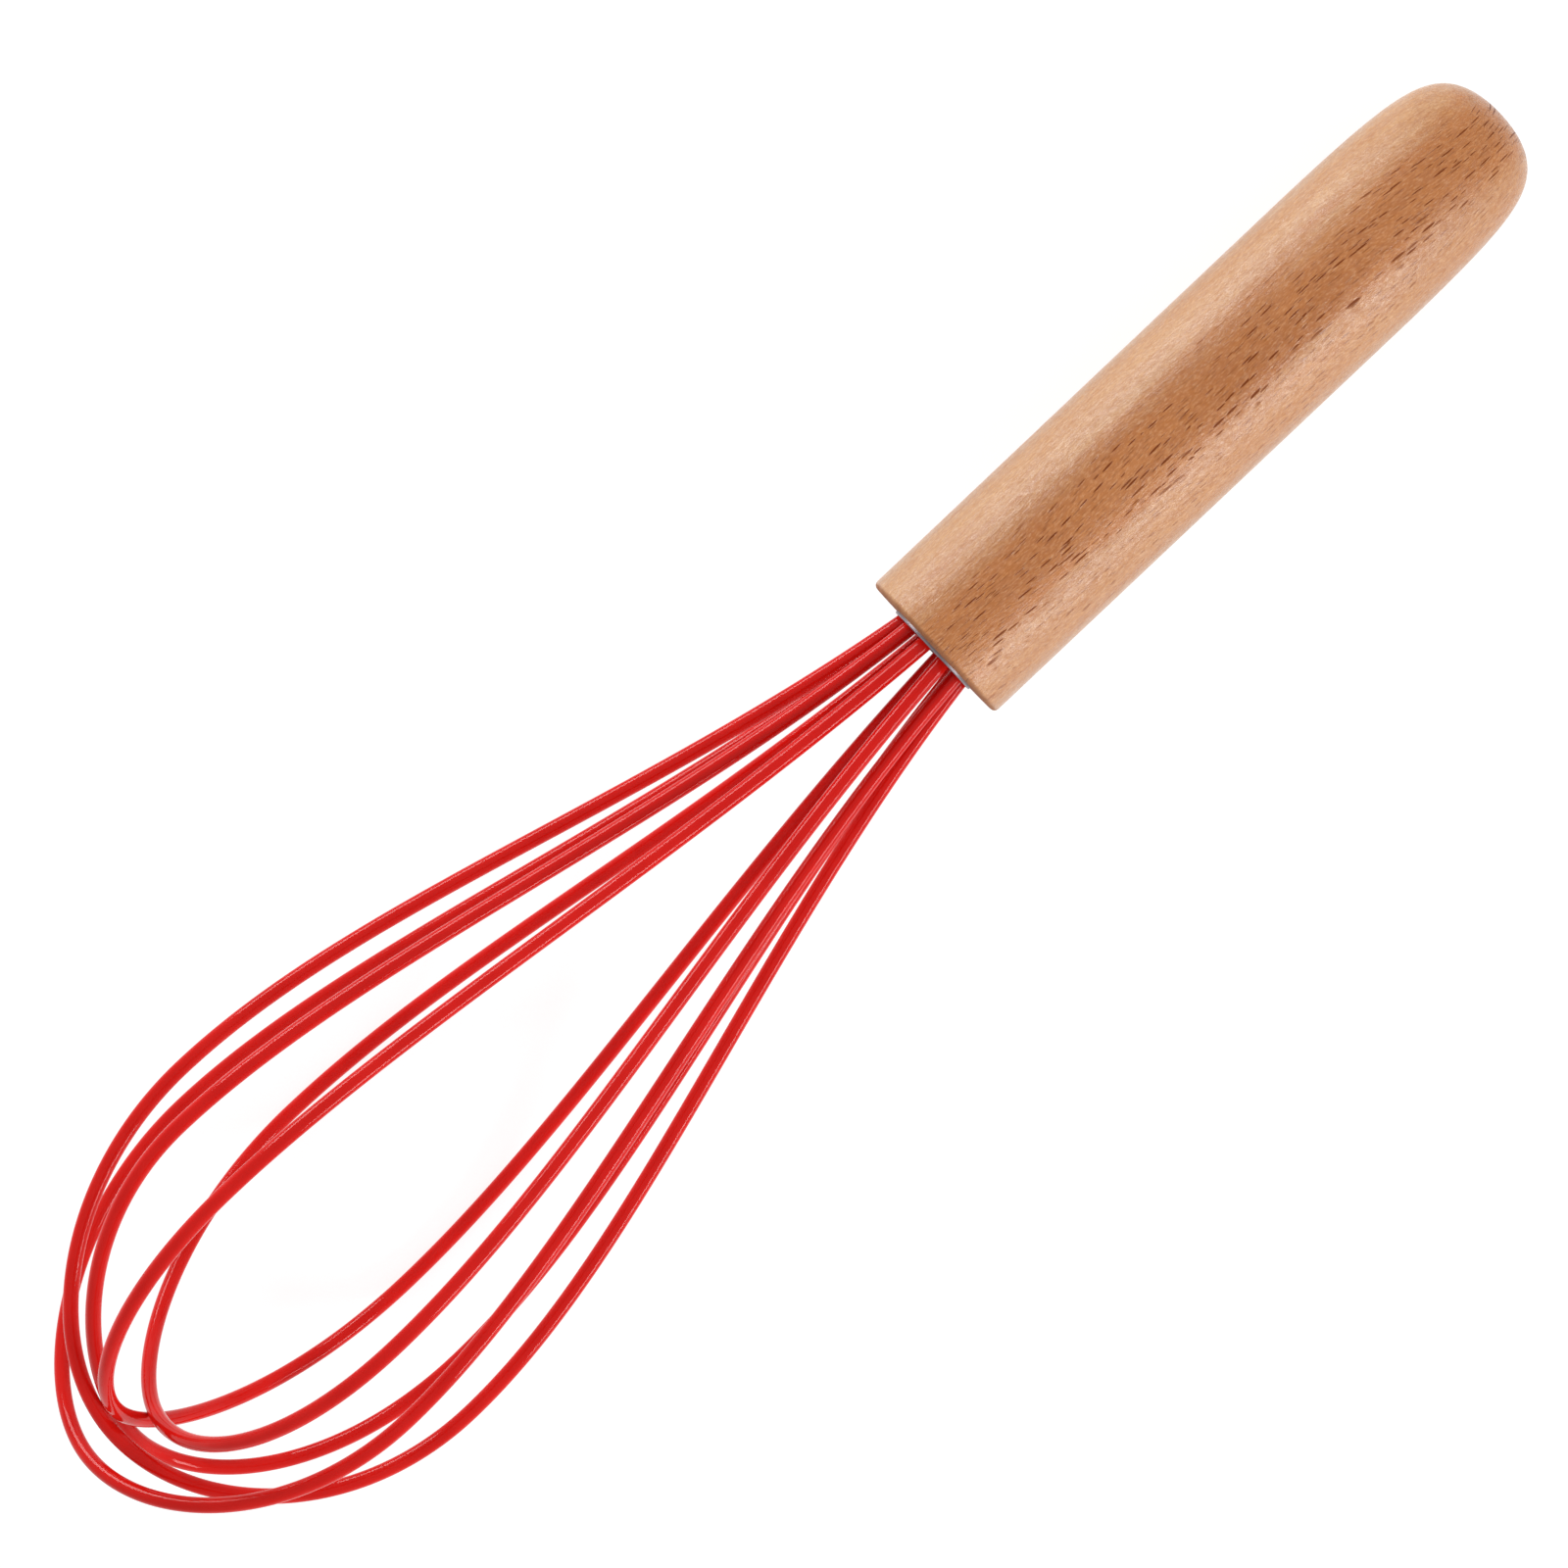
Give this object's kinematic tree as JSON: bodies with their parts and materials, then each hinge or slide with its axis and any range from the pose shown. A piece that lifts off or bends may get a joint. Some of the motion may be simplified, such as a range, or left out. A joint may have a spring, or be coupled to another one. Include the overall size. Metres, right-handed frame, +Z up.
{
  "type": "balloon whisk",
  "caption": "Balloon whisk with a round varnished wooden handle and a flaring balloon of closed wire loops in silicone sleeves, for beating and aerating batter, eggs and cream.",
  "frame": {"origin": "on the surface that the whisk lies on, under the middle of its bounding box", "axes": "+X along the whisk towards the handle's domed end, +Y across it, +Z up from the surface that it lies on. The whisk's own axis slopes down towards the dome by 4.77 degrees, as it does when it lies on its dome's shoulder and on two loops."},
  "size_m": [0.2636, 0.063, 0.0572],
  "materials": {
    "varnished_beech": "clear varnish over turned beech",
    "stainless_ferrule": "bright drawn",
    "bore_adhesive": "cured epoxy",
    "guide_nylon": "moulded nylon",
    "potting_resin": "cured epoxy",
    "spring_wire": "drawn",
    "red_silicone": "glossy"
  },
  "bodies": {
    "root": {"handle_body": "varnished_beech", "steel_ferrule": "stainless_ferrule", "bore_adhesive": "bore_adhesive", "wire_guide": "guide_nylon", "potting_resin": "potting_resin", "core_wire_1": "spring_wire", "core_wire_2": "spring_wire", "core_wire_3": "spring_wire", "core_wire_4": "spring_wire", "core_wire_5": "spring_wire", "silicone_sleeve_1": "red_silicone", "silicone_sleeve_2": "red_silicone", "silicone_sleeve_3": "red_silicone", "silicone_sleeve_4": "red_silicone", "silicone_sleeve_5": "red_silicone"}
  },
  "joints": []
}
